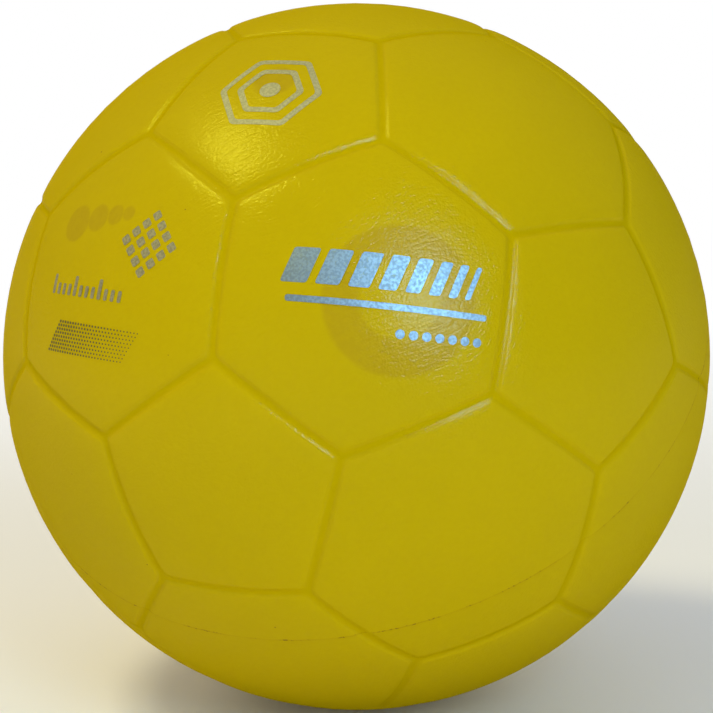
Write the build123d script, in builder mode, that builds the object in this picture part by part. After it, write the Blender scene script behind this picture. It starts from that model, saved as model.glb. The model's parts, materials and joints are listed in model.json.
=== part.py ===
from build123d import *
import os
from itertools import combinations
from math import acos, atan, cos, degrees, pi, radians, sin, sqrt, tan

# Handball: an inflated ball with a moulded cover, in layers around a bladder.
# The cover's relief is 12 pentagons and 20 hexagons, parted by shallow grooves.
# The origin is the centre of the ball. +Z is up, through the middle of the top hexagon,
# and -Y is the side that faces the viewer. All lengths are in millimetres.

# The ball, measured over the panels
CIRCUMFERENCE = 500.0

# The layers, from the outside in, with the glue between each two
COVER_THICKNESS = 3.6
CARCASS_THICKNESS = 0.7
WINDING_THICKNESS = 0.9
BLADDER_THICKNESS = 1.3
BOND_LINE = 0.1

# The grooves between the panels
GROOVE_FLOOR_WIDTH = 2.2
GROOVE_DEPTH = 0.55
SHOULDER_RADIUS = 0.5
PANEL_CORNER_RADIUS = 1.8

# The valve, at the back of the ball
VALVE_LENGTH = 18.0
VALVE_RECESS = 0.4
SLEEVE_RADIUS = 5.0
FLANGE_RADIUS = 13.0
FLANGE_THICKNESS = 1.6
PLUG_BORE_RADIUS = 2.6
HEAD_SEAT_RADIUS = 3.8
HEAD_THICKNESS = 1.7
PLUG_NOSE = 1.0
PLUG_CLEARANCE = 0.05
NEEDLE_PORT_RADIUS = 1.1
NEEDLE_FUNNEL_RADIUS = 1.8
CORE_POCKET_RADIUS = 1.7
CORE_LENGTH = 5.0
CORE_SLIT_LENGTH = 2.2
CORE_SLIT_WIDTH = 0.15
PLUG_EDGE_RADIUS = 0.4

# Angles of the 32-panel pattern, seen from the centre of the ball
PENTAGON_TO_PENTAGON = degrees(atan(2))
PENTAGON_TO_HEXAGON = degrees(acos(sqrt((5 + 2 * sqrt(5)) / 15)))
HEXAGON_TO_HEXAGON = degrees(acos(sqrt(5) / 3))
HEXAGON_APOTHEM = HEXAGON_TO_HEXAGON / 2
PENTAGON_APOTHEM = PENTAGON_TO_HEXAGON - HEXAGON_APOTHEM
HEXAGON_CORNER = degrees(atan(tan(radians(HEXAGON_APOTHEM)) / cos(pi / 6)))

# Radii of the layers, from the outside in
ball_radius = CIRCUMFERENCE / (2 * pi)
groove_floor_radius = ball_radius - GROOVE_DEPTH
cover_inner_radius = ball_radius - COVER_THICKNESS
carcass_radius = cover_inner_radius - BOND_LINE
winding_radius = carcass_radius - CARCASS_THICKNESS - BOND_LINE
bladder_radius = winding_radius - WINDING_THICKNESS - BOND_LINE
flange_top_radius = bladder_radius - BLADDER_THICKNESS - BOND_LINE
other_half = 3 * ball_radius

# Heights along the valve's axis, from the centre of the ball
valve_top = ball_radius - VALVE_RECESS
valve_bottom = valve_top - VALVE_LENGTH
plug_bottom = valve_bottom - PLUG_NOSE
core_top = plug_bottom + CORE_LENGTH

# The two halves of the mould part on this plane, square to the axis of two pentagons.
# It leans so that the hexagon above the front pentagon is the top of the ball.
mould_lean = radians(PENTAGON_TO_HEXAGON)
MOULD = Plane(origin=(0, 0, 0), x_dir=(1, 0, 0), z_dir=(0, -sin(mould_lean), cos(mould_lean)))
VALVE = Plane(origin=(0, 0, 0), x_dir=(1, 0, 0), z_dir=-MOULD.z_dir)
VALVE_AXIS = Axis((0, 0, 0), VALVE.z_dir)

UPWARD = (Align.CENTER, Align.CENTER, Align.MIN)
DOWNWARD = (Align.CENTER, Align.CENTER, Align.MAX)


def panel_plane(axis, neighbour):
    """A plane at the centre of the ball that looks out along a panel's axis."""
    across = neighbour - axis * axis.dot(neighbour)
    return Plane(origin=(0, 0, 0), x_dir=across, z_dir=axis)


def pentagon_axes():
    """The axes of the 12 pentagons: one at each pole of the mould and a ring of five by each."""
    tilted = Vector(0, 0, 1).rotate(Axis.X, PENTAGON_TO_PENTAGON)
    half = [Vector(0, 0, 1)] + [tilted.rotate(Axis.Z, 72 * step) for step in range(5)]
    return half + [-axis for axis in half]


def neighbours(first, second):
    return first.get_angle(second) < PENTAGON_TO_PENTAGON + 1


def panel_planes():
    """The planes of the 12 pentagons and of the 20 hexagons, each between three pentagons."""
    axes = pentagon_axes()
    pentagons = []
    for axis in axes:
        beside = [other for other in axes if other is not axis and neighbours(axis, other)]
        pentagons.append(panel_plane(axis, beside[0]))
    hexagons = []
    for trio in combinations(axes, 3):
        if all(neighbours(first, second) for first, second in combinations(trio, 2)):
            middle = (trio[0] + trio[1] + trio[2]).normalized()
            hexagons.append(panel_plane(middle, trio[0]))
    return pentagons, hexagons


def raised_panel(sides, apothem, turn):
    """One panel, with its axis along +Z: its straight walls stand beside the grooves."""
    edge = radians(apothem)
    wall_distance = groove_floor_radius * sin(edge) - GROOVE_FLOOR_WIDTH / 2 * cos(edge)
    base_height = cover_inner_radius * cos(radians(HEXAGON_CORNER))
    with BuildPart() as panel:
        with BuildSketch(Plane.XY.offset(base_height)) as outline:
            RegularPolygon(wall_distance, sides, major_radius=False, rotation=turn)
            fillet(outline.vertices(), PANEL_CORNER_RADIUS)
        extrude(amount=ball_radius - base_height)
        Sphere(ball_radius, mode=Mode.INTERSECT)
        fillet(panel.faces().sort_by(Axis.Z)[-1].edges(), SHOULDER_RADIUS)
    return panel.part


def hollow_layer(outer_radius, thickness):
    """A layer that goes all round the ball, with a hole for the valve's sleeve."""
    with BuildPart(VALVE) as layer:
        Sphere(outer_radius)
        Sphere(outer_radius - thickness, mode=Mode.SUBTRACT)
        with Locations((0, 0, outer_radius)):
            Hole(SLEEVE_RADIUS + BOND_LINE, depth=outer_radius)
    return layer.part


def write_piece(piece, label):
    piece.label = label
    export_step(piece, f"parts/{label}.step")


# The cover, whole, with the mould's axis along Z, before it is parted into two halves
pentagon_planes, hexagon_planes = panel_planes()
pentagon_panel = raised_panel(5, PENTAGON_APOTHEM, 0)
hexagon_panel = raised_panel(6, HEXAGON_APOTHEM, 30)
with BuildPart() as cover:
    Sphere(groove_floor_radius)
    with Locations(*pentagon_planes):
        add(pentagon_panel)
    with Locations(*hexagon_planes):
        add(hexagon_panel)
    Sphere(cover_inner_radius, mode=Mode.SUBTRACT)

with BuildPart(MOULD) as cover_front_half:
    add(cover.part)
    Box(other_half, other_half, other_half, align=DOWNWARD, mode=Mode.SUBTRACT)

with BuildPart(MOULD) as cover_rear_half:
    add(cover.part)
    Box(other_half, other_half, other_half, align=UPWARD, mode=Mode.SUBTRACT)
    with Locations((0, 0, -ball_radius)):
        Hole(SLEEVE_RADIUS + BOND_LINE, depth=ball_radius)

# The layers under the cover
carcass_rubber = hollow_layer(carcass_radius, CARCASS_THICKNESS)
thread_winding = hollow_layer(winding_radius, WINDING_THICKNESS)
bladder = hollow_layer(bladder_radius, BLADDER_THICKNESS)

# The valve's base: a flange under the bladder and a sleeve that comes out through the layers
with BuildPart(VALVE) as valve_base:
    Sphere(flange_top_radius)
    Sphere(flange_top_radius - FLANGE_THICKNESS, mode=Mode.SUBTRACT)
    Cylinder(FLANGE_RADIUS, flange_top_radius, align=UPWARD, mode=Mode.INTERSECT)
    with Locations((0, 0, valve_bottom)):
        Cylinder(SLEEVE_RADIUS, VALVE_LENGTH, align=UPWARD)
    with Locations((0, 0, valve_top)):
        CounterBoreHole(PLUG_BORE_RADIUS, HEAD_SEAT_RADIUS, HEAD_THICKNESS + PLUG_CLEARANCE)

# The plug, which pulls straight out of the base, with the port for the needle
with BuildPart(VALVE) as valve_plug:
    with Locations((0, 0, plug_bottom)):
        Cylinder(PLUG_BORE_RADIUS - PLUG_CLEARANCE, valve_top - plug_bottom, align=UPWARD)
    with Locations((0, 0, valve_top)):
        Cylinder(HEAD_SEAT_RADIUS - PLUG_CLEARANCE, HEAD_THICKNESS, align=DOWNWARD)
    rims = valve_plug.edges().filter_by(GeomType.CIRCLE).sort_by(VALVE_AXIS)
    fillet([rims[0], rims[-1]], PLUG_EDGE_RADIUS)
    with Locations((0, 0, valve_top)):
        CounterSinkHole(NEEDLE_PORT_RADIUS, NEEDLE_FUNNEL_RADIUS, depth=valve_top - core_top)
    with Locations((0, 0, plug_bottom)):
        Cylinder(CORE_POCKET_RADIUS, CORE_LENGTH, align=UPWARD, mode=Mode.SUBTRACT)

# The soft core at the foot of the plug, with the slit that closes behind the needle
with BuildPart(VALVE) as valve_core:
    with Locations((0, 0, plug_bottom)):
        Cylinder(CORE_POCKET_RADIUS - BOND_LINE, CORE_LENGTH, align=UPWARD)
        Box(CORE_SLIT_LENGTH, CORE_SLIT_WIDTH, CORE_LENGTH, align=UPWARD, mode=Mode.SUBTRACT)

os.makedirs("parts", exist_ok=True)
write_piece(cover_front_half.part, "cover_front_half")
write_piece(cover_rear_half.part, "cover_rear_half")
write_piece(carcass_rubber, "carcass_rubber")
write_piece(thread_winding, "thread_winding")
write_piece(bladder, "bladder")
write_piece(valve_base.part, "valve_base")
write_piece(valve_plug.part, "valve_plug")
write_piece(valve_core.part, "valve_core")
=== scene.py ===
import json
from itertools import combinations
from math import atan, atan2, cos, pi, radians, sin

import bmesh
import bpy
import numpy as np
from mathutils import Matrix, Vector


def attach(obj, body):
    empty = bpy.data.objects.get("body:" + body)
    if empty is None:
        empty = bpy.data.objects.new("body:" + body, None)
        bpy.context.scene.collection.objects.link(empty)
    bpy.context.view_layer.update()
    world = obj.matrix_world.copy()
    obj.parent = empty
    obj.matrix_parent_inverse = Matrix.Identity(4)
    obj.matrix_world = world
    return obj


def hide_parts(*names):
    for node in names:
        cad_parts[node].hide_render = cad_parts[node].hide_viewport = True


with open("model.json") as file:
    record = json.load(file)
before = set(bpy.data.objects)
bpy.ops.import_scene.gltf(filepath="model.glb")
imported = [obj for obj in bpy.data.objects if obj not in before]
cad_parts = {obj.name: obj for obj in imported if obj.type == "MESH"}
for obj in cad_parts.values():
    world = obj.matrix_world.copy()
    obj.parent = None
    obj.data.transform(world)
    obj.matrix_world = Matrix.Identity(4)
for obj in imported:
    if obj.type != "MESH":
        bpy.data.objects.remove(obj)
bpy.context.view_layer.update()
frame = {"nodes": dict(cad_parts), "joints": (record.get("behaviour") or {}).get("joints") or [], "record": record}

# Handball: a moulded yellow cover with silver foil marks, over a wound carcass with a needle valve.
# The frame is the part's own: the origin is the centre of the ball, +Z is up and -Y is the front.
# Blender works in metres, so sizes are written in millimetres times MM.
MM = 0.001

# The ball, as the frame gives it
MOUNTS = {mount["name"]: mount for mount in frame["record"]["mounts"]}
BALL_RADIUS = -MOUNTS["rest_point"]["pos_m"][2]
VALVE_AXIS = np.array(frame["joints"][0]["axis"])
MOULD_AXIS = -VALVE_AXIS
COVER_THICKNESS = 3.6 * MM
COVER_INNER_RADIUS = BALL_RADIUS - COVER_THICKNESS
VALVE_HOLE_RADIUS = 5.1 * MM
VALVE_HOLE_ROUNDING = 0.35 * MM

# The groove's section, from its middle out: a hollow foot, a bank, a shoulder, a lip and an ease
GROOVE_FOOT_RADIUS = 2.3 * MM
GROOVE_BANK_LENGTH = 0.1 * MM
GROOVE_BANK_SLOPE = radians(28)
GROOVE_SHOULDER_RADIUS = 0.6 * MM
GROOVE_LIP_SLOPE = radians(12)
GROOVE_LIP_RADIUS = 5.0 * MM
GROOVE_EASE_SLOPE = radians(3.5)
GROOVE_EASE_RADIUS = 48.0 * MM
PANEL_CORNER_ROUNDING = 0.35 * MM

# The bead that the mould leaves where its halves part
BEAD_HEIGHT = 0.03 * MM
BEAD_HALF_WIDTH = 0.2 * MM
BEAD_LOOPS = (-1.0, -0.5, 0.0, 0.5, 1.0)

# The grid that each panel is divided by: close lines by the grooves, wide cells in the middle
GRID_EVEN_LINES = 17
GRID_WIDE_LINES = 14
GRID_GROWTH = 1.3
INNER_GRID_LINES = 5

# Lines round the valve's hole, at these distances from its edge, and the gap to the panel's own
HOLE_LINES = (0.1 * MM, 0.2 * MM, 0.35 * MM, 0.6 * MM, 1.0 * MM, 1.8 * MM)
HOLE_LINE_GAP = 1.5

# Making meshes: points alike to a millionth are one, and edges over this angle aren't smoothed
WELD_STEPS = 1e6
CUT_WELD = 1e-7
SHARP_ANGLE = radians(50)

# Directions: what counts as the same, and what lies near a pole of the mould
CLOSE_ENOUGH = 0.01
NEAR_POLE = 0.5

# The rubber's colours, and the sizes of its patches of tone
RUBBER_LIGHT = (0.51, 0.372, 0.0, 1)
RUBBER_DEEP = (0.472, 0.348, 0.0, 1)
RUBBER_MOTTLE = (0.448, 0.325, 0.0, 1)
RUBBER_GROOVE = (0.36, 0.25, 0.0, 1)
GHOST_TINT = (0.39, 0.265, 0.006, 1)
LINE_DIRT = (0.36, 0.23, 0.0, 1)
DARK_DIRT = (0.15, 0.07, 0.01, 1)
TONE_SIZE = 30 * MM
MOTTLE_SIZE = 1.2 * MM

# The rubber's grain: wrinkles that run along an axis but drift from it, a fine grit and a swell
WRINKLE_AXIS = (0.8, 0.3, 0.5)
WRINKLE_STRETCH = 0.17
WRINKLE_DRIFT = 8.0 * MM
DRIFT_SIZE = 16 * MM
FOLD_SIZE = 1.3 * MM
FINE_WRINKLE_SIZE = 0.5 * MM
GRIT_SIZE = 0.5 * MM
SWELL_SIZE = 9 * MM

# Depths of that grain, in the rubber's body and in the skin over it
SWELL_DEPTH = 0.06 * MM
BODY_WRINKLE_DEPTH = 0.034 * MM
BODY_GRIT_DEPTH = 0.045 * MM
SKIN_WRINKLE_DEPTH = 0.048 * MM
SKIN_GRIT_DEPTH = 0.08 * MM

# The skin's sheen, which is less in the grooves and towards the ball's rim
SKIN_SHEEN = 0.13
GROOVE_SHEEN = 0.02
RIM_SHEEN_SHARE = 0.2
SKIN_ROUGHNESS = 0.14
SKIN_IOR = 1.5

# Dirt: a fine line and lumps along the mould's parting, full in the core and gone at the edge
DIRT_PATCH_SIZE = 9 * MM
LINE_CORE = 0.05 * MM
LINE_EDGE = 0.28 * MM
LUMP_SIZE = 0.8 * MM
LUMP_CORE = 0.08 * MM
LUMP_EDGE = 0.32 * MM
SPECK_SPACING = 9 * MM

# Ghosts of worn prints: their places are millimetres right of and above a panel's middle
GHOST_RING = (7, -2)
GHOST_RING_RADIUS = 11.5 * MM
GHOST_RING_HALF_WIDTH = 3.6 * MM
GHOST_DISC = (0, 3)
GHOST_DISC_RADIUS = 4.5 * MM
GHOST_SOFTNESS = 0.7 * MM
GHOST_DOTS = ((-13.5, 10.5, 4.0), (-6.6, 12.0, 3.0), (-1.4, 13.0, 2.2), (2.4, 13.7, 1.6))
GHOST_DOT_SOFTNESS = 0.4 * MM

# The foil and ink marks lie on the cover, sunk a little into its skin
FOIL_LIFT = 0.03 * MM
FOIL_THICKNESS = 0.05 * MM
FOIL_WARP_SIZE = 0.8 * MM
FOIL_CRACK_SIZE = 0.6 * MM
FOIL_WRINKLE_DEPTH = 0.008 * MM
FOIL_GRIT_DEPTH = 0.01 * MM
INK_GRIT_DEPTH = 0.03 * MM

# The foil's colours: bright where it is whole, dull where it is rubbed, with a tan painted warm reflection
FOIL_LIGHT = (0.21, 0.225, 0.245, 1)
FOIL_DARK = (0.16, 0.172, 0.19, 1)
RUBBED_REFLECTION_LIGHT = (0.33, 0.29, 0.16, 1)
RUBBED_REFLECTION_DARK = (0.26, 0.23, 0.12, 1)
# The rubbed foil again, darker: painted shade on the left panel
RUBBED_SHADED_LIGHT = (0.27, 0.225, 0.115, 1)
RUBBED_SHADED_DARK = (0.2, 0.165, 0.08, 1)
FOIL_CRACK = (0.2, 0.17, 0.06, 1)
INK_DARK = (0.11, 0.085, 0.02, 1)
INK_LIGHT = (0.17, 0.135, 0.03, 1)

# Marks are drawn flat, in plain millimetres right of and above the middle of their panel
FLAT_GRID = 1.0
FLAT_WELD = 1e-4
ROUNDING_STEPS = 4

# On the front panel, turned by a few degrees: bars, a long line and a row of dots
FRONT_TURN = -6
FRONT_ROUNDING = 0.6
FRONT_BARS = 8
FRONT_BARS_PLACE = (-15.5, 4.0)
FRONT_BAR_WIDEST = 5.4
FRONT_BAR_STEP = 0.6
FRONT_BAR_HEIGHT = 7.2
FRONT_BAR_SLANT = 2.4
FRONT_BAR_GAP = 1.7
FRONT_LINE_PLACE = (5.2, -2.8)
FRONT_LINE_SIZE = (41.0, 1.3)
FRONT_DOTS = 7
FRONT_DOTS_PLACE = (8.0, -8.0)
FRONT_DOT_RADIUS = 0.95
FRONT_DOT_SIDES = 20
FRONT_DOT_PITCH = 2.7

# On the panel at the mould's front pole: hexagon bands and a disc
POLE_HEXAGONS = (11.5, 7.5)
POLE_BAND_WIDTH = 1.5
POLE_OUTER_ROUNDING = 1.0
POLE_INNER_ROUNDING = 0.8
POLE_DISC_RADIUS = 2.2
POLE_DISC_SIDES = 32

# On the left panel: a diamond of squares, a scale of strokes and a band of halftone dots
SQUARES_PLACE = (10.5, 8.0)
SQUARES_TURN = 45
SQUARES_ACROSS = 4
SQUARE_SIZE = 1.9
SQUARE_PITCH = 2.9
SQUARE_ROUNDING = 0.4
SCALE_PLACE = (-15.5, -5.0)
SCALE_STROKES = 12
SCALE_PITCH = 2.0
STROKE_WIDTH = 0.95
STROKE_ROUNDING = 0.4
SHORT_STROKE = 2.4
LONG_STROKE = 4.2
LONG_STROKE_EVERY = 4
HALFTONE_PLACE = (-14.5, -17.0)
HALFTONE_LENGTH = 25.0
HALFTONE_ROWS = 9
HALFTONE_PITCH = 0.92
HALFTONE_ROW_PITCH = 0.87 * HALFTONE_PITCH
HALFTONE_LARGEST = 0.33
HALFTONE_SMALLEST = 0.16
HALFTONE_SIDES = 8

# The thread under the cover, and the directions that it lies square to
THREAD_PITCH = 1.2 * MM
THREAD_DEPTH = 0.2 * MM
FIBRE_SIZE = 0.3 * MM
FIBRE_DEPTH = 0.03 * MM
WINDING_AXES = (
    (0.9, 0.3, 0.32),
    (-0.2, 0.9, 0.39),
    (0.3, -0.4, 0.87),
    (-0.7, -0.5, 0.51),
    (0.5, 0.6, -0.62),
)
NYLON_LIGHT = (0.72, 0.70, 0.64, 1)
NYLON_DARK = (0.55, 0.53, 0.47, 1)
LATEX = (0.36, 0.29, 0.18, 1)

# The inner pieces' rubber: its name, colour, the dust on it, its roughness and the grain's size
INNER_RUBBER = {
    "carcass_rubber": ("carcass_latex", (0.17, 0.13, 0.08), (0.24, 0.2, 0.14), 0.75, 1.5 * MM),
    "bladder": ("bladder_butyl", (0.012, 0.012, 0.012), (0.06, 0.058, 0.054), 0.55, 2 * MM),
    "valve_base": ("valve_rubber", (0.014, 0.014, 0.014), (0.05, 0.047, 0.035), 0.5, 0.5 * MM),
    "valve_plug": ("plug_rubber", (0.02, 0.02, 0.02), (0.045, 0.043, 0.035), 0.4, 0.4 * MM),
    "valve_core": ("core_gum", (0.21, 0.08, 0.02), (0.28, 0.13, 0.05), 0.65, 0.4 * MM),
}

# The floor, in metres: it turns plain white between these distances from the ball
FLOOR_SIZE = 60.0
FLOOR_NEAR = 0.15
FLOOR_FAR = 0.6
FLOOR_COLOUR = (0.88, 0.88, 0.88, 1)

# The camera stands where the photograph was taken from
CAMERA_AZIMUTH = radians(21.21)
CAMERA_ELEVATION = radians(10.09)
CAMERA_ROLL = radians(-0.15)
CAMERA_DISTANCE = 6.5725 * BALL_RADIUS
CAMERA_LENS = 115.96
CAMERA_NEAR = 0.01

# Directions to the lamps: to the right, up and towards the camera
WINDOW = (0.34, 0.29, 0.89)
WINDOW_GLINT = (0.34, 0.33, 0.88)
CEILING = (-0.46, 0.85, 0.25)
CEILING_GLINT = (-0.49, 0.83, 0.22)
FRONT_FILL = (-0.35, -0.05, 0.94)
LOW_FILL = (0.50, -0.12, 0.86)
BACK_FILL = (-0.20, 0.30, -0.93)

# The lamps' distances, widths and heights in metres, and their colours
LAMP_DISTANCE = 1.2
FILL_DISTANCE = 1.4
WINDOW_SIZE = (0.36, 0.6)
CEILING_SIZE = (0.4, 0.3)
CEILING_GLINT_SIZE = (0.5, 0.25)
FRONT_FILL_SIZE = (1.0, 0.6)
LOW_FILL_SIZE = (1.0, 0.1)
BACK_FILL_SIZE = (1.0, 0.8)
COOL_WHITE = (0.48, 0.74, 1.0)
COOL_GLINT = (0.24, 0.64, 1.0)
WARM_WHITE = (1.0, 0.88, 0.5)
WARM_GLINT = (0.96, 0.98, 0.07)
SOFT_WHITE = (1.0, 0.97, 0.9)

# Levels of light: at a level of 1, one lamp alone shows colours as they are written
WORLD_LEVEL = 0.46
WINDOW_LEVEL = 0.32
WINDOW_GLINT_LEVEL = 1.25
CEILING_LEVEL = 0.43
CEILING_GLINT_LEVEL = 1.15
FRONT_FILL_LEVEL = 0.11
LOW_FILL_LEVEL = 0.14
BACK_FILL_LEVEL = 0.35


# The pattern of panels


def unit(vectors):
    return vectors / np.linalg.norm(vectors, axis=-1, keepdims=True)


def pentagon_axes():
    """The axes of the 12 pentagons: one at each pole of the mould and a ring of five by each."""
    side = np.array([1.0, 0.0, 0.0])
    rise = np.cross(MOULD_AXIS, side)
    tilt = atan(2)
    half = [MOULD_AXIS]
    for step in range(5):
        turn = radians(72 * step - 90)
        around = side * cos(turn) + rise * sin(turn)
        half.append(around * sin(tilt) + MOULD_AXIS * cos(tilt))
    return half + [-axis for axis in half]


def in_order(axis, corners):
    """A panel's corners in order round its axis, anticlockwise from outside."""
    across = unit(corners[0] - axis * (corners[0] @ axis))
    along = np.cross(axis, across)
    return sorted(corners, key=lambda corner: atan2(corner @ along, corner @ across))


def panel_pattern():
    """Every panel as its axis and its corners: 12 pentagons, then 20 hexagons."""
    axes = pentagon_axes()
    nearest = cos(atan(2))
    beside = {}
    for one, other in combinations(range(12), 2):
        if abs(axes[one] @ axes[other] - nearest) < CLOSE_ENOUGH:
            beside.setdefault(one, []).append(other)
            beside.setdefault(other, []).append(one)
    panels = []
    for one, axis in enumerate(axes):
        corners = [unit(2 * axis + axes[other]) for other in beside[one]]
        panels.append((axis, in_order(axis, corners)))
    for trio in combinations(range(12), 3):
        if all(other in beside[one] for one, other in combinations(trio, 2)):
            axis = unit(sum(axes[one] for one in trio))
            corners = []
            for one in trio:
                corners += [unit(2 * axes[one] + axes[other]) for other in trio if other != one]
            panels.append((axis, in_order(axis, corners)))
    return panels


PANELS = panel_pattern()
PANEL_AXES = np.array([axis for axis, corners in PANELS])
PANEL_HEIGHTS = np.array([axis @ corners[0] for axis, corners in PANELS])
MOST_SIDES = 6
FAR = 1.0


def panel_sides():
    """The inward normals of every panel's sides, and a distance that rules out a sixth one."""
    normals = np.zeros((len(PANELS), MOST_SIDES, 3))
    missing = np.full((len(PANELS), MOST_SIDES), FAR)
    for panel, (axis, corners) in enumerate(PANELS):
        for side, corner in enumerate(corners):
            after = corners[(side + 1) % len(corners)]
            normals[panel, side] = unit(np.cross(corner, after))
            missing[panel, side] = 0.0
    return normals, missing


SIDE_NORMALS, SIDE_MISSING = panel_sides()


def panel_nearest(direction):
    """The axis of the panel that is nearest to this direction."""
    return PANEL_AXES[(PANEL_AXES @ unit(np.array(direction))).argmax()]


FRONT_PANEL = panel_nearest((0.36, -0.87, 0.33))
LEFT_PANEL = panel_nearest((-0.36, -0.87, 0.33))
POLE_PANEL = MOULD_AXIS


def panel_frame(axis):
    """Unit vectors to the right and up along a panel, as seen from outside."""
    up = np.array([0.0, 0.0, 1.0])
    up = unit(up - axis * (up @ axis))
    return np.cross(up, axis), up


def on_panel(axis, right, up):
    """The point on the ball that lies this many millimetres right of and above a panel's middle."""
    across, rise = panel_frame(axis)
    return unit(axis * BALL_RADIUS + across * right * MM + rise * up * MM) * BALL_RADIUS


# The cover's surface


def arc_steps(radius, first_slope, last_slope, steps=16):
    """Steps out and up along an arc whose slope changes from one angle to another."""
    slopes = np.linspace(first_slope, last_slope, steps + 1)
    return radius * np.abs(np.diff(np.sin(slopes))), radius * np.abs(np.diff(np.cos(slopes)))


def groove_section():
    """Half of the groove's section: distances from its middle, and its depth there."""
    foot = arc_steps(GROOVE_FOOT_RADIUS, 0, GROOVE_BANK_SLOPE)
    bank_out = [GROOVE_BANK_LENGTH * cos(GROOVE_BANK_SLOPE)]
    bank_up = [GROOVE_BANK_LENGTH * sin(GROOVE_BANK_SLOPE)]
    shoulder = arc_steps(GROOVE_SHOULDER_RADIUS, GROOVE_BANK_SLOPE, GROOVE_LIP_SLOPE)
    lip = arc_steps(GROOVE_LIP_RADIUS, GROOVE_LIP_SLOPE, GROOVE_EASE_SLOPE)
    ease = arc_steps(GROOVE_EASE_RADIUS, GROOVE_EASE_SLOPE, 0)
    stretches = zip(foot, (bank_out, bank_up), shoulder, lip, ease)
    outward, upward = [np.concatenate([[0], *steps]) for steps in stretches]
    return np.cumsum(outward), upward.sum() - np.cumsum(upward)


SECTION_DISTANCES, SECTION_DEPTHS = groove_section()
GROOVE_DEPTH = SECTION_DEPTHS[0]


def groove_depth(directions):
    """How far the surface lies below the ball's own radius at these directions."""
    panel = (directions @ PANEL_AXES.T / PANEL_HEIGHTS).argmax(axis=1)
    sines = np.einsum("nsi,ni->ns", SIDE_NORMALS[panel], directions)
    distances = BALL_RADIUS * np.arcsin(sines) + SIDE_MISSING[panel]
    nearness = np.exp(-distances / PANEL_CORNER_ROUNDING).sum(axis=1)
    nearest = -PANEL_CORNER_ROUNDING * np.log(nearness)
    return np.interp(nearest, SECTION_DISTANCES, SECTION_DEPTHS)


def valve_rounding(directions):
    """How far the surface drops over the rounded edge of the valve's hole."""
    across = np.linalg.norm(np.cross(directions, VALVE_AXIS), axis=1) * BALL_RADIUS
    inside = (VALVE_HOLE_RADIUS + VALVE_HOLE_ROUNDING - across) / VALVE_HOLE_ROUNDING
    inside = np.where(directions @ VALVE_AXIS > 0, inside.clip(0, 1), 0)
    return VALVE_HOLE_ROUNDING * (1 - np.sqrt(1 - inside**2))


def bead_height(directions):
    """The height of the bead along the parting line."""
    across = directions @ MOULD_AXIS * BALL_RADIUS / BEAD_HALF_WIDTH
    return BEAD_HEIGHT * (1 - across**2).clip(0)


def grid_fractions():
    """Places of the grid's lines from the middle of a panel, 0, to its side, 1."""
    steps = [1.0] * GRID_EVEN_LINES
    steps += [GRID_GROWTH ** (line + 1) for line in range(GRID_WIDE_LINES)]
    reach = np.concatenate([[0], np.cumsum(steps)])
    return 1 - reach[::-1] / reach[-1]


def kite_grid(middle, before, corner, after, fractions):
    """Directions on a grid between a panel's middle, a corner and the middles of its two sides."""
    down = fractions[:, None, None]
    over = fractions[None, :, None]
    near = middle * (1 - over) + after * over
    far = before * (1 - over) + corner * over
    return unit(near * (1 - down) + far * down)


def hole_fan(axis, corners, fractions, hole_angle):
    """Directions on a grid from the valve's hole out to the sides of its panel."""
    edge = []
    for side, corner in enumerate(corners):
        after = corners[(side + 1) % len(corners)]
        middle = unit(corner + after)
        for share in fractions[:0:-1]:
            edge.append(unit(middle * (1 - share) + corner * share))
        for share in fractions[:-1]:
            edge.append(unit(middle * (1 - share) + after * share))
    edge.append(edge[0])
    edge = np.array(edge)
    outward = unit(edge - axis * (edge @ axis)[:, None])
    hole = axis * cos(hole_angle) + outward * sin(hole_angle)
    reach = np.arccos(edge @ axis).mean() - hole_angle
    close = [line / BALL_RADIUS / reach for line in HOLE_LINES]
    wide = [share for share in fractions if share > close[-1] * HOLE_LINE_GAP]
    shares = np.array([0.0] + close + wide)[:, None, None]
    return unit(hole[None] * (1 - shares) + edge[None] * shares)


def grid_faces(rows, columns, first):
    """Faces of a grid of points whose first point has this number, facing out."""
    row, column = np.meshgrid(np.arange(rows - 1), np.arange(columns - 1), indexing="ij")
    corner = first + (row * columns + column).ravel()
    return np.stack([corner, corner + columns, corner + columns + 1, corner + 1], axis=1)


def welded(points, faces):
    """Points and faces, with the points that are in the same place made one."""
    places = np.round(points * WELD_STEPS).astype(np.int64)
    kept, number = np.unique(places, axis=0, return_index=True, return_inverse=True)[1:]
    return points[kept], number.reshape(-1)[faces]


def sphere_directions(fractions, hole_angle):
    """The whole ball as directions and faces, with grid lines that follow the panels' sides."""
    points, faces, count = [], [], 0
    for axis, corners in PANELS:
        grids = []
        if axis @ VALVE_AXIS > 1 - CLOSE_ENOUGH:
            grids.append(hole_fan(axis, corners, fractions, hole_angle))
        else:
            for number, corner in enumerate(corners):
                before = unit(corners[number - 1] + corner)
                after = unit(corner + corners[(number + 1) % len(corners)])
                grids.append(kite_grid(axis, before, corner, after, fractions))
        for grid in grids:
            rows, columns = grid.shape[:2]
            points.append(grid.reshape(-1, 3))
            faces.append(grid_faces(rows, columns, count))
            count += rows * columns
    return welded(np.concatenate(points), np.concatenate(faces))


def parted(points, faces, offsets):
    """The surface cut by planes square to the mould's axis, at these distances from its middle."""
    surface = bmesh.new()
    vertices = [surface.verts.new(point) for point in points]
    for face in faces:
        surface.faces.new([vertices[number] for number in face])
    for offset in offsets:
        everything = surface.verts[:] + surface.edges[:] + surface.faces[:]
        middle = MOULD_AXIS * offset
        bmesh.ops.bisect_plane(
            surface, geom=everything, dist=CUT_WELD, plane_co=middle, plane_no=MOULD_AXIS
        )
    surface.verts.index_update()
    points = np.array([vertex.co for vertex in surface.verts], float)
    faces = [[vertex.index for vertex in face.verts] for face in surface.faces]
    surface.free()
    return unit(points), faces


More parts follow.
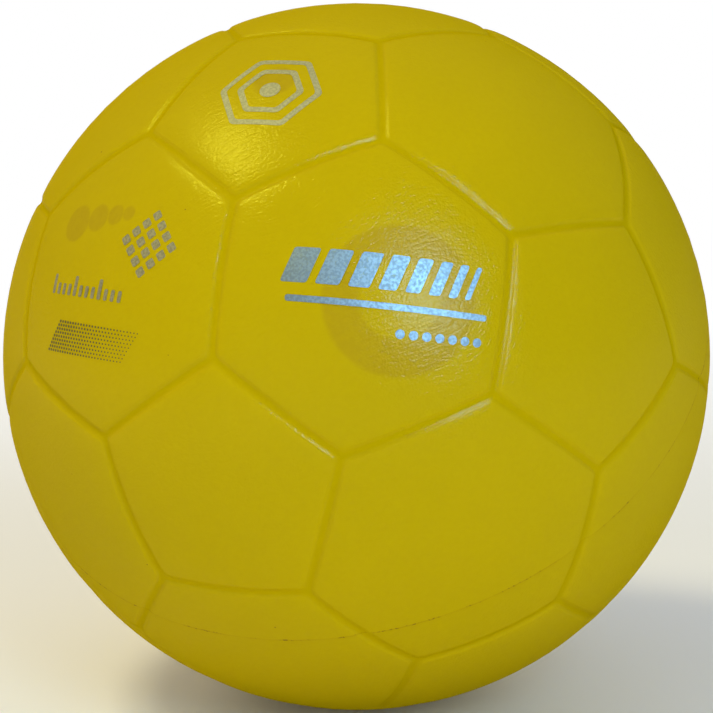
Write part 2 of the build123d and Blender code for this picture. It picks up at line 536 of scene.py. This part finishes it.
def half_of(points, faces, axis):
    """The part of a cut surface that lies on one side of the parting plane."""
    heights = points @ axis
    faces = [face for face in faces if sum(heights[number] for number in face) > 0]
    used = np.unique([number for face in faces for number in face])
    renumber = np.zeros(len(points), int)
    renumber[used] = np.arange(len(used))
    return points[used], [[int(renumber[number]) for number in face] for face in faces]


def border_points(faces):
    """The points on the open border of a surface, as a set of numbers."""
    seen = {}
    for face in faces:
        for one, other in zip(face, face[1:] + face[:1]):
            edge = (min(one, other), max(one, other))
            seen[edge] = seen.get(edge, 0) + 1
    return {number for edge, count in seen.items() if count == 1 for number in edge}


def zipped(first, second, angles):
    """Triangles between two loops of points, each in order of angle."""
    triangles = []
    one, other = 0, 0

    def angle_after(loop, step):
        turns, place = divmod(step, len(loop))
        return angles[loop[place]] + 2 * pi * turns

    while one < len(first) or other < len(second):
        here, there = first[one % len(first)], second[other % len(second)]
        first_next, second_next = angle_after(first, one + 1), angle_after(second, other + 1)
        if other == len(second) or (one < len(first) and first_next <= second_next):
            triangles.append([here, first[(one + 1) % len(first)], there])
            one += 1
        else:
            triangles.append([here, second[(other + 1) % len(second)], there])
            other += 1
    return triangles


def finished_piece(name, mesh):
    """A smooth-shaded object in the scene that rides on the ball."""
    mesh.polygons.foreach_set("use_smooth", np.ones(len(mesh.polygons), bool))
    mesh.set_sharp_from_angle(angle=SHARP_ANGLE)
    piece = bpy.data.objects.new(name, mesh)
    bpy.context.scene.collection.objects.link(piece)
    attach(piece, "ball")
    return piece


def cover_half(name, axis, outer, inner):
    """One half of the cover as a closed shell: outside with its relief, inside and rims."""
    outer_directions, faces = half_of(*outer, axis)
    inner_directions, inner_faces = half_of(*inner, axis)
    depth = groove_depth(outer_directions)
    radius = BALL_RADIUS - depth + bead_height(outer_directions)
    radius = radius - valve_rounding(outer_directions)
    directions = np.concatenate([outer_directions, inner_directions])
    outer_count = len(outer_directions)
    radii = np.concatenate([radius, np.full(len(inner_directions), COVER_INNER_RADIUS)])
    faces = faces + [[number + outer_count for number in reversed(face)] for face in inner_faces]
    side = np.array([1.0, 0.0, 0.0])
    angles = np.arctan2(directions @ np.cross(axis, side), directions @ side)
    on_border = sorted(border_points(faces), key=lambda number: angles[number])
    by_hole = directions @ axis > NEAR_POLE
    rims = []
    for at_hole in (False, True):
        loop = [number for number in on_border if by_hole[number] == at_hole]
        outside = [number for number in loop if number < outer_count]
        inside = [number for number in loop if number >= outer_count]
        if outside:
            rims += zipped(outside, inside, angles)
    mesh = bpy.data.meshes.new(name)
    mesh.from_pydata(directions * radii[:, None], [], faces + rims)
    shell = bmesh.new()
    shell.from_mesh(mesh)
    bmesh.ops.recalc_face_normals(shell, faces=shell.faces)
    shell.to_mesh(mesh)
    shell.free()
    groove = mesh.attributes.new("groove", "FLOAT", "POINT")
    shares = np.concatenate([depth / GROOVE_DEPTH, np.zeros(len(inner_directions))])
    groove.data.foreach_set("value", shares.astype(np.float32))
    return finished_piece(name, mesh)


def ball_surface(radius, fractions, cuts):
    """The whole ball's surface with the valve's hole in it, cut at these distances."""
    hole_angle = atan(VALVE_HOLE_RADIUS / radius)
    return parted(*sphere_directions(fractions, hole_angle), cuts)


# Materials: shader nodes


def plug_in(tree, value, socket):
    """Sets a socket to a value, or links another socket to it."""
    if isinstance(value, bpy.types.NodeSocket):
        tree.links.new(value, socket)
    else:
        socket.default_value = value


def add_node(tree, kind, inputs=None, **settings):
    node = tree.nodes.new(kind)
    for name, value in settings.items():
        setattr(node, name, value)
    for name, value in (inputs or {}).items():
        plug_in(tree, value, node.inputs[name])
    return node


def set_sockets(tree, shader, values):
    for name, value in values.items():
        plug_in(tree, value, shader.inputs[name])


def calculate(tree, operation, *values):
    node = add_node(tree, "ShaderNodeMath", operation=operation)
    for socket, value in zip(node.inputs, values):
        plug_in(tree, value, socket)
    return node.outputs["Value"]


def vector_node(tree, operation, inputs):
    return add_node(tree, "ShaderNodeVectorMath", inputs, operation=operation)


def along_axis(tree, place, axis):
    return vector_node(tree, "DOT_PRODUCT", {0: place, 1: axis}).outputs["Value"]


def distance_from(tree, place, point):
    return vector_node(tree, "DISTANCE", {0: place, 1: point}).outputs["Value"]


def scaled(tree, vector, factor):
    return vector_node(tree, "SCALE", {0: vector, "Scale": factor}).outputs[0]


def moved(tree, place, shift):
    return vector_node(tree, "ADD", {0: place, 1: shift}).outputs[0]


def stretched(tree, place, axis, share):
    """The place on the piece with lengths along one axis shortened, so patterns run along it."""
    excess = calculate(tree, "MULTIPLY", along_axis(tree, place, axis), share - 1.0)
    return moved(tree, place, scaled(tree, axis, excess))


def ramp(tree, value, low, high, to_low=0.0, to_high=1.0):
    """Carries a value from one range to another, smoothly and no further than its ends."""
    node = add_node(tree, "ShaderNodeMapRange", interpolation_type="SMOOTHSTEP")
    ranges = {"From Min": low, "From Max": high, "To Min": to_low, "To Max": to_high}
    set_sockets(tree, node, {"Value": value, **ranges})
    return node.outputs["Result"]


def mixed(tree, share, first, second):
    """One colour over another, by a share from 0 to 1. The node has like-named sockets for
    other kinds of value, so the colours go by number."""
    node = add_node(tree, "ShaderNodeMix", data_type="RGBA")
    set_sockets(tree, node, {"Factor": share, 6: first, 7: second})
    return node.outputs[2]


def most_of(tree, masks):
    """The strongest of several masks at each place."""
    strongest = masks[0]
    for mask in masks[1:]:
        strongest = calculate(tree, "MAXIMUM", strongest, mask)
    return strongest


def noise(tree, place, size, detail=2.0, roughness=0.5):
    inputs = {"Vector": place, "Scale": 1 / size, "Detail": detail, "Roughness": roughness}
    return add_node(tree, "ShaderNodeTexNoise", inputs).outputs["Fac"]


def cells(tree, place, size, feature="F1"):
    inputs = {"Vector": place, "Scale": 1 / size}
    return add_node(tree, "ShaderNodeTexVoronoi", inputs, feature=feature)


def bumped(tree, layers):
    """A normal with bump from several heights, each with its own depth."""
    normal = None
    for height, distance in layers:
        inputs = {"Height": height, "Distance": distance, "Strength": 1.0}
        if normal is not None:
            inputs["Normal"] = normal
        normal = add_node(tree, "ShaderNodeBump", inputs).outputs["Normal"]
    return normal


def material_start(name):
    """A new material: its node tree, its shader and the place on the piece."""
    material = bpy.data.materials.new(name)
    material.use_nodes = True
    tree = material.node_tree
    shader = tree.nodes["Principled BSDF"]
    place = add_node(tree, "ShaderNodeTexCoord").outputs["Object"]
    return material, tree, shader, place


# Materials: the cover


def rubber_grain(tree, place):
    """Heights of the moulded leather grain: long wrinkles that bend, and a fine grit."""
    inputs = {"Vector": place, "Scale": 1 / DRIFT_SIZE, "Detail": 0.0}
    drift = add_node(tree, "ShaderNodeTexNoise", inputs).outputs["Color"]
    bent = moved(tree, place, scaled(tree, drift, WRINKLE_DRIFT))
    along = stretched(tree, bent, WRINKLE_AXIS, WRINKLE_STRETCH)
    folds = calculate(tree, "SUBTRACT", noise(tree, along, FOLD_SIZE, detail=1.0), 0.5)
    creases = ramp(tree, calculate(tree, "ABSOLUTE", folds), 0.0, 0.12, 0.0, 0.45)
    fine = noise(tree, along, FINE_WRINKLE_SIZE, detail=1.0)
    wrinkles = calculate(tree, "ADD", creases, fine)
    grit = noise(tree, place, GRIT_SIZE, detail=1.0, roughness=0.4)
    return wrinkles, grit


def faded_edge(tree, away, edge, softness):
    """A mask that is 1 within this distance and 0 beyond it, with a soft edge."""
    return ramp(tree, away, edge - softness, edge + softness, 1.0, 0.0)


def disc_mask(tree, place, centre, radius, softness):
    return faded_edge(tree, distance_from(tree, place, centre), radius, softness)


def ring_mask(tree, place, centre, radius, half_width, softness):
    away = calculate(tree, "SUBTRACT", distance_from(tree, place, centre), radius)
    return faded_edge(tree, calculate(tree, "ABSOLUTE", away), half_width, softness)


def ghost_prints(tree, place):
    """Where earlier prints have left a brownish tint in the rubber."""
    ring = on_panel(FRONT_PANEL, *GHOST_RING)
    disc = on_panel(POLE_PANEL, *GHOST_DISC)
    masks = [
        ring_mask(tree, place, ring, GHOST_RING_RADIUS, GHOST_RING_HALF_WIDTH, GHOST_SOFTNESS),
        disc_mask(tree, place, disc, GHOST_DISC_RADIUS, GHOST_SOFTNESS),
    ]
    for right, up, radius in GHOST_DOTS:
        dot = on_panel(LEFT_PANEL, right, up)
        masks.append(disc_mask(tree, place, dot, radius * MM, GHOST_DOT_SOFTNESS))
    return most_of(tree, masks)


def parting_dirt(tree, place):
    """The fine brown line along the mould's parting, and the dirt caught on it here and there."""
    across = calculate(tree, "ABSOLUTE", along_axis(tree, place, MOULD_AXIS))
    patches = noise(tree, place, DIRT_PATCH_SIZE)
    line = ramp(tree, across, LINE_CORE, LINE_EDGE, 1.0, 0.0)
    line = calculate(tree, "MULTIPLY", line, ramp(tree, patches, 0.35, 0.65, 0.15, 0.55))
    lumps = ramp(tree, noise(tree, place, LUMP_SIZE, detail=1.0), 0.54, 0.64)
    lumps = calculate(tree, "MULTIPLY", lumps, ramp(tree, patches, 0.42, 0.6))
    near = ramp(tree, across, LUMP_CORE, LUMP_EDGE, 1.0, 0.0)
    return line, calculate(tree, "MULTIPLY", lumps, near)


def specks(tree, place):
    """Single tiny dark specks, far apart."""
    pattern = cells(tree, place, SPECK_SPACING)
    near = ramp(tree, pattern.outputs["Distance"], 0.012, 0.026, 1.0, 0.0)
    chosen = add_node(tree, "ShaderNodeSeparateColor", {"Color": pattern.outputs["Color"]})
    return calculate(tree, "MULTIPLY", near, ramp(tree, chosen.outputs["Red"], 0.5, 0.55))


def cover_material():
    """Yellow moulded rubber: leather grain, a dirty parting line, old ghost prints and dirt."""
    material, tree, shader, place = material_start("cover_rubber")
    tone = noise(tree, place, TONE_SIZE)
    mottle = noise(tree, place, MOTTLE_SIZE)
    swell = noise(tree, place, SWELL_SIZE, detail=1.0)
    wrinkles, grit = rubber_grain(tree, place)
    groove = add_node(tree, "ShaderNodeAttribute", attribute_name="groove").outputs["Fac"]
    line, lumps = parting_dirt(tree, place)
    faded = ramp(tree, mottle, 0.3, 0.7, 0.5, 0.65)
    faded = calculate(tree, "MULTIPLY", ghost_prints(tree, place), faded)
    colour = mixed(tree, tone, RUBBER_LIGHT, RUBBER_DEEP)
    colour = mixed(tree, ramp(tree, mottle, 0.3, 0.7, 0.0, 0.2), colour, RUBBER_MOTTLE)
    # The rubber's colour is darker towards the floor of the grooves
    colour = mixed(tree, ramp(tree, groove, 0.45, 0.9, 0.0, 0.18), colour, RUBBER_GROOVE)
    colour = mixed(tree, faded, colour, GHOST_TINT)
    colour = mixed(tree, line, colour, LINE_DIRT)
    colour = mixed(tree, calculate(tree, "MULTIPLY", lumps, 0.8), colour, DARK_DIRT)
    colour = mixed(tree, specks(tree, place), colour, DARK_DIRT)
    facing = add_node(tree, "ShaderNodeLayerWeight", {"Blend": 0.5}).outputs["Facing"]
    rim = ramp(tree, facing, 0.35, 0.85, 1.0, RIM_SHEEN_SHARE)
    sheen = ramp(tree, groove, 0.8, 0.96, SKIN_SHEEN, GROOVE_SHEEN)
    body = [(swell, SWELL_DEPTH), (wrinkles, BODY_WRINKLE_DEPTH), (grit, BODY_GRIT_DEPTH)]
    skin = [(swell, SWELL_DEPTH), (wrinkles, SKIN_WRINKLE_DEPTH), (grit, SKIN_GRIT_DEPTH)]
    set_sockets(tree, shader, {
        "Base Color": colour,
        "Roughness": ramp(tree, grit, 0.2, 0.8, 0.45, 0.6),
        "Specular IOR Level": 0.0,
        "Coat Weight": calculate(tree, "MULTIPLY", sheen, rim),
        "Coat Roughness": SKIN_ROUGHNESS,
        "Coat IOR": SKIN_IOR,
        "Normal": bumped(tree, body),
        "Coat Normal": bumped(tree, skin),
    })
    return material


# Materials: marks and inner pieces


def foil_material(name, light, dark, metal, roughest):
    """Hot-stamped silver foil, cracked along the rubber's grain."""
    material, tree, shader, place = material_start(name)
    wrinkles, grit = rubber_grain(tree, place)
    warped = noise(tree, place, FOIL_WARP_SIZE)
    edges = cells(tree, place, FOIL_CRACK_SIZE, feature="DISTANCE_TO_EDGE").outputs["Distance"]
    cracks = ramp(tree, edges, 0.02, 0.1, 1.0, 0.0)
    cracks = calculate(tree, "MULTIPLY", cracks, ramp(tree, warped, 0.45, 0.65))
    colour = mixed(tree, ramp(tree, grit, 0.35, 0.65), light, dark)
    colour = mixed(tree, calculate(tree, "MULTIPLY", cracks, 0.5), colour, FOIL_CRACK)
    set_sockets(tree, shader, {
        "Base Color": colour,
        "Roughness": ramp(tree, grit, 0.2, 0.8, roughest - 0.1, roughest),
        "Metallic": metal,
        "Normal": bumped(tree, [(wrinkles, FOIL_WRINKLE_DEPTH), (grit, FOIL_GRIT_DEPTH)]),
    })
    return material


def ink_material():
    """Dark ink of the halftone dots, thin enough for the grain to show."""
    material, tree, shader, place = material_start("halftone_ink")
    wrinkles, grit = rubber_grain(tree, place)
    set_sockets(tree, shader, {
        "Base Color": mixed(tree, grit, INK_DARK, INK_LIGHT),
        "Roughness": ramp(tree, wrinkles, 0.0, 1.5, 0.6, 0.5),
        "Specular IOR Level": 0.05,
        "Normal": bumped(tree, [(grit, INK_GRIT_DEPTH)]),
    })
    return material


def plain_rubber(name, colour, dust, roughness, grain):
    """Moulded rubber with a fine grain, and dust that lies on it in patches."""
    material, tree, shader, place = material_start(name)
    fine = noise(tree, place, grain)
    patches = noise(tree, place, 8 * grain, detail=3.0)
    darker = tuple(0.6 * share for share in colour)
    base = mixed(tree, ramp(tree, fine, 0.3, 0.7), (*colour, 1), (*darker, 1))
    base = mixed(tree, ramp(tree, patches, 0.45, 0.7, 0.0, 0.5), base, (*dust, 1))
    set_sockets(tree, shader, {
        "Base Color": base,
        "Roughness": ramp(tree, patches, 0.3, 0.7, roughness, roughness + 0.15),
        "Normal": bumped(tree, [(fine, 0.1 * grain)]),
    })
    return material


def winding_material():
    """Nylon thread wound round the ball in many directions, with latex between the threads."""
    material, tree, shader, place = material_start("winding_thread")
    fibre = noise(tree, place, FIBRE_SIZE)
    threads = []
    for axis in WINDING_AXES:
        folded = calculate(tree, "PINGPONG", along_axis(tree, place, axis), THREAD_PITCH / 2)
        threads.append(ramp(tree, folded, 0.3 * THREAD_PITCH, 0.45 * THREAD_PITCH))
    wound = most_of(tree, threads)
    nylon = mixed(tree, fibre, NYLON_LIGHT, NYLON_DARK)
    set_sockets(tree, shader, {
        "Base Color": mixed(tree, wound, LATEX, nylon),
        "Roughness": ramp(tree, wound, 0.0, 1.0, 0.8, 0.55),
        "Normal": bumped(tree, [(wound, THREAD_DEPTH), (fibre, FIBRE_DEPTH)]),
    })
    return material


# Foil and ink marks, drawn flat in millimetres and then laid on the ball


def polygon(radius, sides):
    """A regular polygon about the origin, which is a circle when it has many sides."""
    angles = [2 * pi * side / sides for side in range(sides)]
    return [(radius * cos(angle), radius * sin(angle)) for angle in angles]


def rectangle(width, height, slant=0.0):
    """A rectangle about the origin, whose top is moved right by the slant."""
    half, rise, lean = width / 2, height / 2, slant / 2
    return [(-half - lean, -rise), (half - lean, -rise), (half + lean, rise), (-half + lean, rise)]


def rounded(outline, radius):
    """An outline with its corners rounded."""
    result = []
    for number, corner in enumerate(outline):
        corner = Vector(corner)
        before = (Vector(outline[number - 1]) - corner).normalized() * radius
        after = (Vector(outline[(number + 1) % len(outline)]) - corner).normalized() * radius
        for step in range(ROUNDING_STEPS + 1):
            share = step / ROUNDING_STEPS
            result.append(corner + before * (1 - share) ** 2 + after * share**2)
    return result


def shifted(outline, right, up):
    return [(x + right, y + up) for x, y in outline]


def turned(outline, angle):
    """An outline turned about the origin by an angle in degrees."""
    turn = Matrix.Rotation(radians(angle), 2)
    return [turn @ Vector(point) for point in outline]


def band_between(outer, inner):
    """Outlines that fill the band between two closed outlines with as many points each."""
    count = len(outer)
    following = [(number, (number + 1) % count) for number in range(count)]
    return [[outer[one], outer[other], inner[other], inner[one]] for one, other in following]


def front_marks():
    """Slanted bars that grow thinner to the right, over a long thin line and a row of dots."""
    outlines = []
    right, up = FRONT_BARS_PLACE
    for step in range(FRONT_BARS):
        width = FRONT_BAR_WIDEST - FRONT_BAR_STEP * step
        bar = rounded(rectangle(width, FRONT_BAR_HEIGHT, FRONT_BAR_SLANT), FRONT_ROUNDING)
        outlines.append(shifted(bar, right + width / 2, up))
        right += width + FRONT_BAR_GAP
    line = rounded(rectangle(*FRONT_LINE_SIZE), FRONT_ROUNDING)
    outlines.append(shifted(line, *FRONT_LINE_PLACE))
    right, up = FRONT_DOTS_PLACE
    for step in range(FRONT_DOTS):
        dot = polygon(FRONT_DOT_RADIUS, FRONT_DOT_SIDES)
        outlines.append(shifted(dot, right + FRONT_DOT_PITCH * step, up))
    return [turned(outline, FRONT_TURN) for outline in outlines]


def pole_marks():
    """Two hexagon outlines, one in the other, and a disc."""
    outlines = []
    for radius in POLE_HEXAGONS:
        outer = rounded(polygon(radius, 6), POLE_OUTER_ROUNDING)
        inner = rounded(polygon(radius - POLE_BAND_WIDTH, 6), POLE_INNER_ROUNDING)
        outlines += band_between(outer, inner)
    outlines.append(polygon(POLE_DISC_RADIUS, POLE_DISC_SIDES))
    return outlines


def left_marks():
    """A diamond of small squares, and a scale of short and long strokes."""
    outlines = []
    middle = (SQUARES_ACROSS - 1) / 2
    for row in range(SQUARES_ACROSS):
        for column in range(SQUARES_ACROSS):
            right = SQUARE_PITCH * (column - middle)
            up = SQUARE_PITCH * (row - middle)
            square = rounded(rectangle(SQUARE_SIZE, SQUARE_SIZE), SQUARE_ROUNDING)
            square = turned(shifted(square, right, up), SQUARES_TURN)
            outlines.append(shifted(square, *SQUARES_PLACE))
    right, up = SCALE_PLACE
    for step in range(SCALE_STROKES):
        length = LONG_STROKE if step % LONG_STROKE_EVERY == 0 else SHORT_STROKE
        stroke = rounded(rectangle(STROKE_WIDTH, length), STROKE_ROUNDING)
        outlines.append(shifted(stroke, right + SCALE_PITCH * step, up + length / 2))
    return outlines


def halftone():
    """A slanted band of dots in close rows, which grow smaller from one end to the other."""
    outlines = []
    left, low = HALFTONE_PLACE
    columns = int(HALFTONE_LENGTH / HALFTONE_PITCH)
    for row in range(HALFTONE_ROWS):
        for column in range(columns):
            right = left + (column + 0.5 * row) * HALFTONE_PITCH
            up = low + row * HALFTONE_ROW_PITCH
            radius = HALFTONE_LARGEST
            radius -= (HALFTONE_LARGEST - HALFTONE_SMALLEST) * column / columns
            outlines.append(shifted(polygon(radius, HALFTONE_SIDES), right, up))
    return outlines


def mark_piece(name, panel, outlines, material):
    """A thin piece in the shape of these outlines, laid on a panel."""
    flat = bmesh.new()
    for outline in outlines:
        flat.faces.new([flat.verts.new((point[0], point[1], 0)) for point in outline])
    bmesh.ops.remove_doubles(flat, verts=flat.verts, dist=FLAT_WELD)
    bmesh.ops.triangulate(flat, faces=flat.faces)
    for side in range(2):
        places = [vertex.co[side] for vertex in flat.verts]
        normal = Vector((1 - side, side, 0))
        for line in np.arange(min(places) + FLAT_GRID, max(places), FLAT_GRID):
            everything = flat.verts[:] + flat.edges[:] + flat.faces[:]
            bmesh.ops.bisect_plane(
                flat, geom=everything, dist=FLAT_WELD, plane_co=normal * line, plane_no=normal
            )
    copied = bmesh.ops.extrude_face_region(flat, geom=flat.faces[:], use_keep_orig=True)["geom"]
    upper = [part for part in copied if isinstance(part, bmesh.types.BMVert)]
    bmesh.ops.translate(flat, verts=upper, vec=(0, 0, FOIL_THICKNESS / MM))
    bmesh.ops.recalc_face_normals(flat, faces=flat.faces)
    for vertex in flat.verts:
        radius = BALL_RADIUS + FOIL_LIFT - FOIL_THICKNESS + vertex.co.z * MM
        vertex.co = on_panel(panel, vertex.co.x, vertex.co.y) * radius / BALL_RADIUS
    mesh = bpy.data.meshes.new(name)
    flat.to_mesh(mesh)
    flat.free()
    mesh.materials.append(material)
    return finished_piece(name, mesh)


# The pieces

bead_cuts = [share * BEAD_HALF_WIDTH / BALL_RADIUS for share in BEAD_LOOPS]
outer_surface = ball_surface(BALL_RADIUS, grid_fractions(), bead_cuts)
inner_fractions = np.linspace(0, 1, INNER_GRID_LINES + 1)
inner_surface = ball_surface(COVER_INNER_RADIUS, inner_fractions, [0.0])
cover_front = cover_half("cover_front", MOULD_AXIS, outer_surface, inner_surface)
cover_rear = cover_half("cover_rear", VALVE_AXIS, outer_surface, inner_surface)
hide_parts("cover_front_half")
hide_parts("cover_rear_half")

silver_foil = foil_material("silver_foil", FOIL_LIGHT, FOIL_DARK, metal=1.0, roughest=0.58)
# Dull rubbed foil, whose tan colour is a painted warm reflection
foil_rubbed_with_reflection = foil_material("foil_rubbed_with_reflection", RUBBED_REFLECTION_LIGHT, RUBBED_REFLECTION_DARK, metal=0.15, roughest=0.7)
# The same rubbed foil made darker, as painted shade on the left panel
foil_rubbed_and_shaded = foil_material("foil_rubbed_and_shaded", RUBBED_SHADED_LIGHT, RUBBED_SHADED_DARK, metal=0.15, roughest=0.75)
mark_piece("foil_front", FRONT_PANEL, front_marks(), silver_foil)
mark_piece("foil_pole", POLE_PANEL, pole_marks(), foil_rubbed_with_reflection)
mark_piece("foil_left", LEFT_PANEL, left_marks(), foil_rubbed_and_shaded)
mark_piece("halftone_left", LEFT_PANEL, halftone(), ink_material())

cover_rubber = cover_material()
for piece in (cover_front, cover_rear):
    piece.data.materials.append(cover_rubber)

node_materials = {name: plain_rubber(*rubber) for name, rubber in INNER_RUBBER.items()}
node_materials["thread_winding"] = winding_material()
for name, material in node_materials.items():
    frame["nodes"][name].data.materials.clear()
    frame["nodes"][name].data.materials.append(material)


# Floor, light and camera

CAMERA_RIGHT = Vector((cos(CAMERA_AZIMUTH), sin(CAMERA_AZIMUTH), 0))
CAMERA_BACK = Vector((
    sin(CAMERA_AZIMUTH) * cos(CAMERA_ELEVATION),
    -cos(CAMERA_AZIMUTH) * cos(CAMERA_ELEVATION),
    sin(CAMERA_ELEVATION),
))
CAMERA_UP = CAMERA_BACK.cross(CAMERA_RIGHT)


def mixed_shaders(tree, share, first, second):
    inputs = {0: share, 1: first.outputs[0], 2: second.outputs[0]}
    return add_node(tree, "ShaderNodeMixShader", inputs)


def add_floor():
    """A white floor: it takes the ball's shadow, and far from the ball it is plain white.
    From below it is clear, so the ball can be seen from there."""
    mesh = bpy.data.meshes.new("floor")
    half = FLOOR_SIZE / 2
    corners = [(-half, -half), (half, -half), (half, half), (-half, half)]
    mesh.from_pydata([(x, y, -BALL_RADIUS) for x, y in corners], [], [(0, 1, 2, 3)])
    floor = bpy.data.objects.new("floor", mesh)
    bpy.context.scene.collection.objects.link(floor)
    material, tree, shader, place = material_start("floor_white")
    look = {"Base Color": FLOOR_COLOUR, "Roughness": 0.9, "Specular IOR Level": 0.0}
    set_sockets(tree, shader, look)
    away = distance_from(tree, place, (0, 0, -BALL_RADIUS))
    rays = add_node(tree, "ShaderNodeLightPath").outputs
    kinds = ("Is Camera Ray", "Is Glossy Ray", "Is Transmission Ray")
    seen = most_of(tree, [rays[kind] for kind in kinds])
    far = calculate(tree, "MULTIPLY", seen, ramp(tree, away, FLOOR_NEAR, FLOOR_FAR))
    white = add_node(tree, "ShaderNodeEmission", {"Color": (1, 1, 1, 1), "Strength": 1.0})
    above = mixed_shaders(tree, far, shader, white)
    from_below = add_node(tree, "ShaderNodeNewGeometry").outputs["Backfacing"]
    clear = add_node(tree, "ShaderNodeBsdfTransparent")
    whole = mixed_shaders(tree, from_below, above, clear)
    tree.links.new(whole.outputs[0], tree.nodes["Material Output"].inputs["Surface"])
    mesh.materials.append(material)


def add_lamp(name, direction, distance, size, level, colour, diffuse=True, glossy=True):
    """A soft lamp that faces the ball."""
    lamp = bpy.data.lights.new(name, "AREA")
    lamp.shape = "RECTANGLE"
    lamp.size, lamp.size_y = size
    lamp.energy = level * pi**2 * distance**2
    lamp.color = colour
    holder = bpy.data.objects.new(name, lamp)
    right, up, back = direction
    towards = (CAMERA_RIGHT * right + CAMERA_UP * up + CAMERA_BACK * back).normalized()
    holder.location = towards * distance
    holder.rotation_euler = towards.to_track_quat("Z", "Y").to_euler()
    holder.visible_diffuse = diffuse
    holder.visible_glossy = glossy
    bpy.context.scene.collection.objects.link(holder)


def add_glint(name, direction, size, level, colour):
    """A lamp that only shines on gloss."""
    add_lamp(name, direction, LAMP_DISTANCE, size, level, colour, diffuse=False)


def add_fill(name, direction, size, level):
    """A wide weak lamp that leaves no glint."""
    add_lamp(name, direction, FILL_DISTANCE, size, level, SOFT_WHITE, glossy=False)


def add_world():
    world = bpy.data.worlds.new("studio")
    world.use_nodes = True
    background = world.node_tree.nodes["Background"]
    background.inputs["Color"].default_value = (1, 1, 1, 1)
    background.inputs["Strength"].default_value = WORLD_LEVEL
    bpy.context.scene.world = world


def add_camera():
    lens = bpy.data.cameras.new("camera")
    lens.lens = CAMERA_LENS
    lens.clip_start = CAMERA_NEAR
    camera = bpy.data.objects.new("camera", lens)
    place = Matrix.Translation(CAMERA_BACK * CAMERA_DISTANCE)
    turn = Matrix((CAMERA_RIGHT, CAMERA_UP, CAMERA_BACK)).transposed().to_4x4()
    camera.matrix_world = place @ turn @ Matrix.Rotation(CAMERA_ROLL, 4, "Z")
    bpy.context.scene.collection.objects.link(camera)
    bpy.context.scene.camera = camera


add_floor()
add_world()
add_lamp("window", WINDOW, LAMP_DISTANCE, WINDOW_SIZE, WINDOW_LEVEL, COOL_WHITE)
add_lamp("ceiling", CEILING, LAMP_DISTANCE, CEILING_SIZE, CEILING_LEVEL, WARM_WHITE, glossy=False)
add_glint("window_glint", WINDOW_GLINT, WINDOW_SIZE, WINDOW_GLINT_LEVEL, COOL_GLINT)
add_glint("ceiling_glint", CEILING_GLINT, CEILING_GLINT_SIZE, CEILING_GLINT_LEVEL, WARM_GLINT)
add_fill("front_fill", FRONT_FILL, FRONT_FILL_SIZE, FRONT_FILL_LEVEL)
add_fill("low_fill", LOW_FILL, LOW_FILL_SIZE, LOW_FILL_LEVEL)
add_fill("back_fill", BACK_FILL, BACK_FILL_SIZE, BACK_FILL_LEVEL)
add_camera()
bpy.context.scene.view_settings.view_transform = "Standard"
